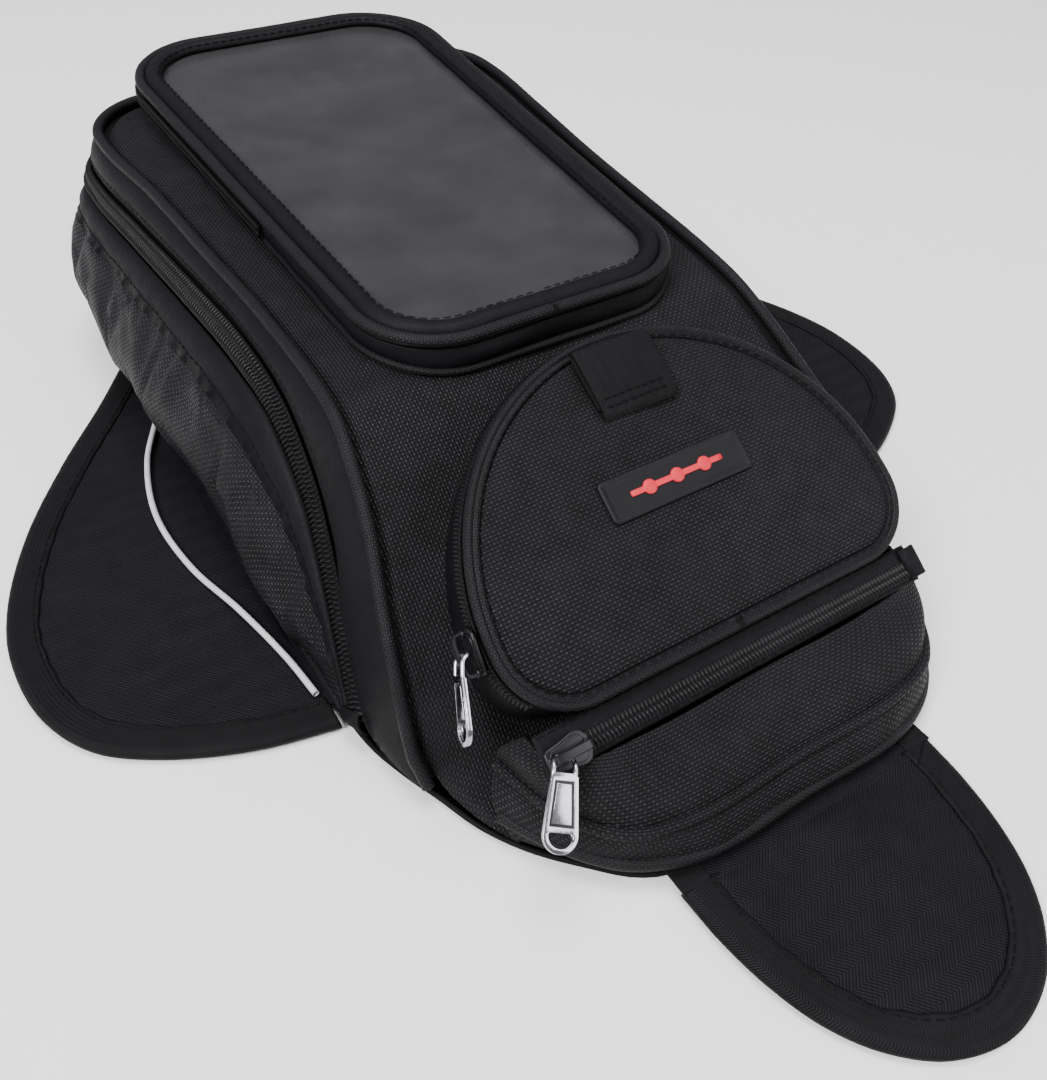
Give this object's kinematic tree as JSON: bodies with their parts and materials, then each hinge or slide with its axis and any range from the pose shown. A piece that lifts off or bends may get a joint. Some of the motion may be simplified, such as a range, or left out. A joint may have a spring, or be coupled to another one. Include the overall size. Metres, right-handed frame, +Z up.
{
  "type": "tank bag",
  "caption": "Magnetic motorcycle tank bag with a wrap-round zipped lid, clear phone window on top, sloping D-shaped and low front pockets, and magnetic side wings and tail flap.",
  "frame": {"origin": "on the surface it stands on, under the centre of its bounding box", "axes": "+X to the right, +Y towards the wide end with the zip sliders, +Z up out of the flat underside"},
  "size_m": [0.3336, 0.414, 0.0957],
  "materials": {
    "basket_weave": "coarse black basket-weave nylon, slightly coated",
    "side_fabric": "fine black twill, soft sheen",
    "base_fabric": "rubberised black fabric",
    "tape_fabric": "smooth tight black weave",
    "webbing": "ribbed black webbing",
    "piping_cover": "black piping cover, satin",
    "coil_plastic": "black nylon coil",
    "board_plastic": "plain sheet",
    "clear_film": "clear smoky soft film, glossy",
    "label_rubber": "moulded black patch",
    "red_rubber": "raised red bars and dots",
    "reflective_tape": "grey reflective piping",
    "magnet_steel": "plated",
    "slider_black": "black enamelled zinc",
    "pull_chrome": "dark nickel plate"
  },
  "bodies": {
    "tub": {"base_panel": "base_fabric", "base_board": "board_plastic", "left_wall": "side_fabric", "right_wall": "side_fabric", "rear_wall": "side_fabric", "lower_zip_tape": "tape_fabric", "main_zip_coil": "coil_plastic", "left_zip_end_tab": "webbing", "right_zip_end_tab": "webbing"},
    "main_lid": {"lid_panel": "basket_weave", "edge_piping": "piping_cover", "upper_zip_tape": "tape_fabric", "phone_pocket_gusset": "tape_fabric", "phone_pocket_floor": "base_fabric", "phone_zip_coil": "coil_plastic", "d_pocket_gusset": "tape_fabric", "d_zip_coil": "coil_plastic", "front_pocket_panel": "basket_weave", "front_pocket_base_band": "side_fabric", "front_zip_tape": "tape_fabric", "front_zip_coil": "coil_plastic", "front_zip_end_tab": "webbing"},
    "window_lid": {"window_frame": "tape_fabric", "window_piping": "piping_cover", "window_film": "clear_film"},
    "front_pocket_lid": {"d_piping": "piping_cover", "d_face_panel": "basket_weave", "webbing_loop": "webbing", "label_patch": "label_rubber", "label_motif": "red_rubber"},
    "left_wing": {"left_wing_panel": "side_fabric", "left_wing_lining": "base_fabric", "left_wing_binding": "webbing", "left_wing_magnets": "magnet_steel", "left_wing_reflective_piping": "reflective_tape"},
    "right_wing": {"right_wing_panel": "side_fabric", "right_wing_lining": "base_fabric", "right_wing_binding": "webbing", "right_wing_magnets": "magnet_steel", "right_wing_reflective_piping": "reflective_tape"},
    "tail_flap": {"tail_flap_panel": "side_fabric", "tail_flap_lining": "base_fabric", "tail_flap_binding": "webbing", "tail_flap_magnets": "magnet_steel"},
    "front_zip_slider_body": {"front_zip_slider": "slider_black"},
    "front_zip_pull_body": {"front_zip_pull": "pull_chrome"},
    "d_zip_slider_body": {"d_zip_slider": "slider_black"},
    "d_zip_pull_body": {"d_zip_pull": "pull_chrome"},
    "phone_zip_left_slider_body": {"phone_zip_left_slider": "slider_black"},
    "phone_zip_left_pull_body": {"phone_zip_left_pull": "pull_chrome"},
    "phone_zip_right_slider_body": {"phone_zip_right_slider": "slider_black"},
    "phone_zip_right_pull_body": {"phone_zip_right_pull": "pull_chrome"},
    "main_zip_left_slider_body": {"main_zip_left_slider": "slider_black"},
    "main_zip_left_pull_body": {"main_zip_left_pull": "pull_chrome"},
    "main_zip_right_slider_body": {"main_zip_right_slider": "slider_black"},
    "main_zip_right_pull_body": {"main_zip_right_pull": "pull_chrome"}
  },
  "joints": [
    {"name": "main_lid_hinge", "type": "hinge", "parent": "tub", "child": "main_lid", "pos_m": [0, -0.1368, 0.0032], "axis": [1, 0, 0], "range_deg": [0, 50]},
    {"name": "left_wing_fold", "type": "hinge", "parent": "tub", "child": "left_wing", "pos_m": [-0.094, 0.0267, 0.0035], "axis": [0, 1, 0], "range_deg": [0, 45]},
    {"name": "right_wing_fold", "type": "hinge", "parent": "tub", "child": "right_wing", "pos_m": [0.094, 0.0267, 0.0035], "axis": [0, -1, 0], "range_deg": [0, 45]},
    {"name": "tail_flap_fold", "type": "hinge", "parent": "tub", "child": "tail_flap", "pos_m": [0, -0.1402, 0.0035], "axis": [-1, 0, 0], "range_deg": [0, 35]},
    {"name": "window_lid_hinge", "type": "hinge", "parent": "main_lid", "child": "window_lid", "pos_m": [0, -0.0118, 0.0799], "axis": [1, 0, 0], "range_deg": [0, 50]},
    {"name": "front_pocket_lid_hinge", "type": "hinge", "parent": "main_lid", "child": "front_pocket_lid", "pos_m": [0, -0.1043, 0.041], "axis": [1, 0, 0], "range_deg": [0, 70]},
    {"name": "front_zip_slide", "type": "slide", "parent": "main_lid", "child": "front_zip_slider_body", "axis": [1, 0, 0], "range_m": [0, 0.11]},
    {"name": "front_pull_swing", "type": "hinge", "parent": "front_zip_slider_body", "child": "front_zip_pull_body", "pos_m": [-0.0611, -0.1109, 0.03804], "axis": [-0.845, 0.4498, 0.2892], "range_deg": [0, 90]},
    {"name": "d_zip_travel", "type": "hinge", "parent": "main_lid", "child": "d_zip_slider_body", "pos_m": [0, -0.08682, 0.05171], "axis": [0, 0.5225, -0.8526], "range_deg": [0, 160]},
    {"name": "d_pull_swing", "type": "hinge", "parent": "d_zip_slider_body", "child": "d_zip_pull_body", "pos_m": [-0.07, -0.07963, 0.04796], "axis": [0.0065, 0.6241, -0.7813], "range_deg": [0, 90]},
    {"name": "phone_zip_left_slide", "type": "slide", "parent": "main_lid", "child": "phone_zip_left_slider_body", "axis": [-1, 0, 0], "range_m": [0, 0.022]},
    {"name": "phone_zip_right_slide", "type": "slide", "parent": "main_lid", "child": "phone_zip_right_slider_body", "axis": [1, 0, 0], "range_m": [0, 0.022]},
    {"name": "phone_left_pull_swing", "type": "hinge", "parent": "phone_zip_left_slider_body", "child": "phone_zip_left_pull_body", "pos_m": [-0.0155, 0.2043, 0.0883], "axis": [1, 0, 0], "range_deg": [0, 90]},
    {"name": "phone_right_pull_swing", "type": "hinge", "parent": "phone_zip_right_slider_body", "child": "phone_zip_right_pull_body", "pos_m": [-0.0035, 0.2043, 0.0883], "axis": [1, 0, 0], "range_deg": [0, 90]},
    {"name": "main_zip_left_slide", "type": "slide", "parent": "tub", "child": "main_zip_left_slider_body", "axis": [-1, 0, 0], "range_m": [0, 0.024]},
    {"name": "main_zip_right_slide", "type": "slide", "parent": "tub", "child": "main_zip_right_slider_body", "axis": [1, 0, 0], "range_m": [0, 0.024]},
    {"name": "main_left_pull_swing", "type": "hinge", "parent": "main_zip_left_slider_body", "child": "main_zip_left_pull_body", "pos_m": [-0.0075, 0.19964, 0.06538], "axis": [1, 0, 0], "range_deg": [0, 90]},
    {"name": "main_right_pull_swing", "type": "hinge", "parent": "main_zip_right_slider_body", "child": "main_zip_right_pull_body", "pos_m": [0.0075, 0.19964, 0.06538], "axis": [1, 0, 0], "range_deg": [0, 90]}
  ]
}
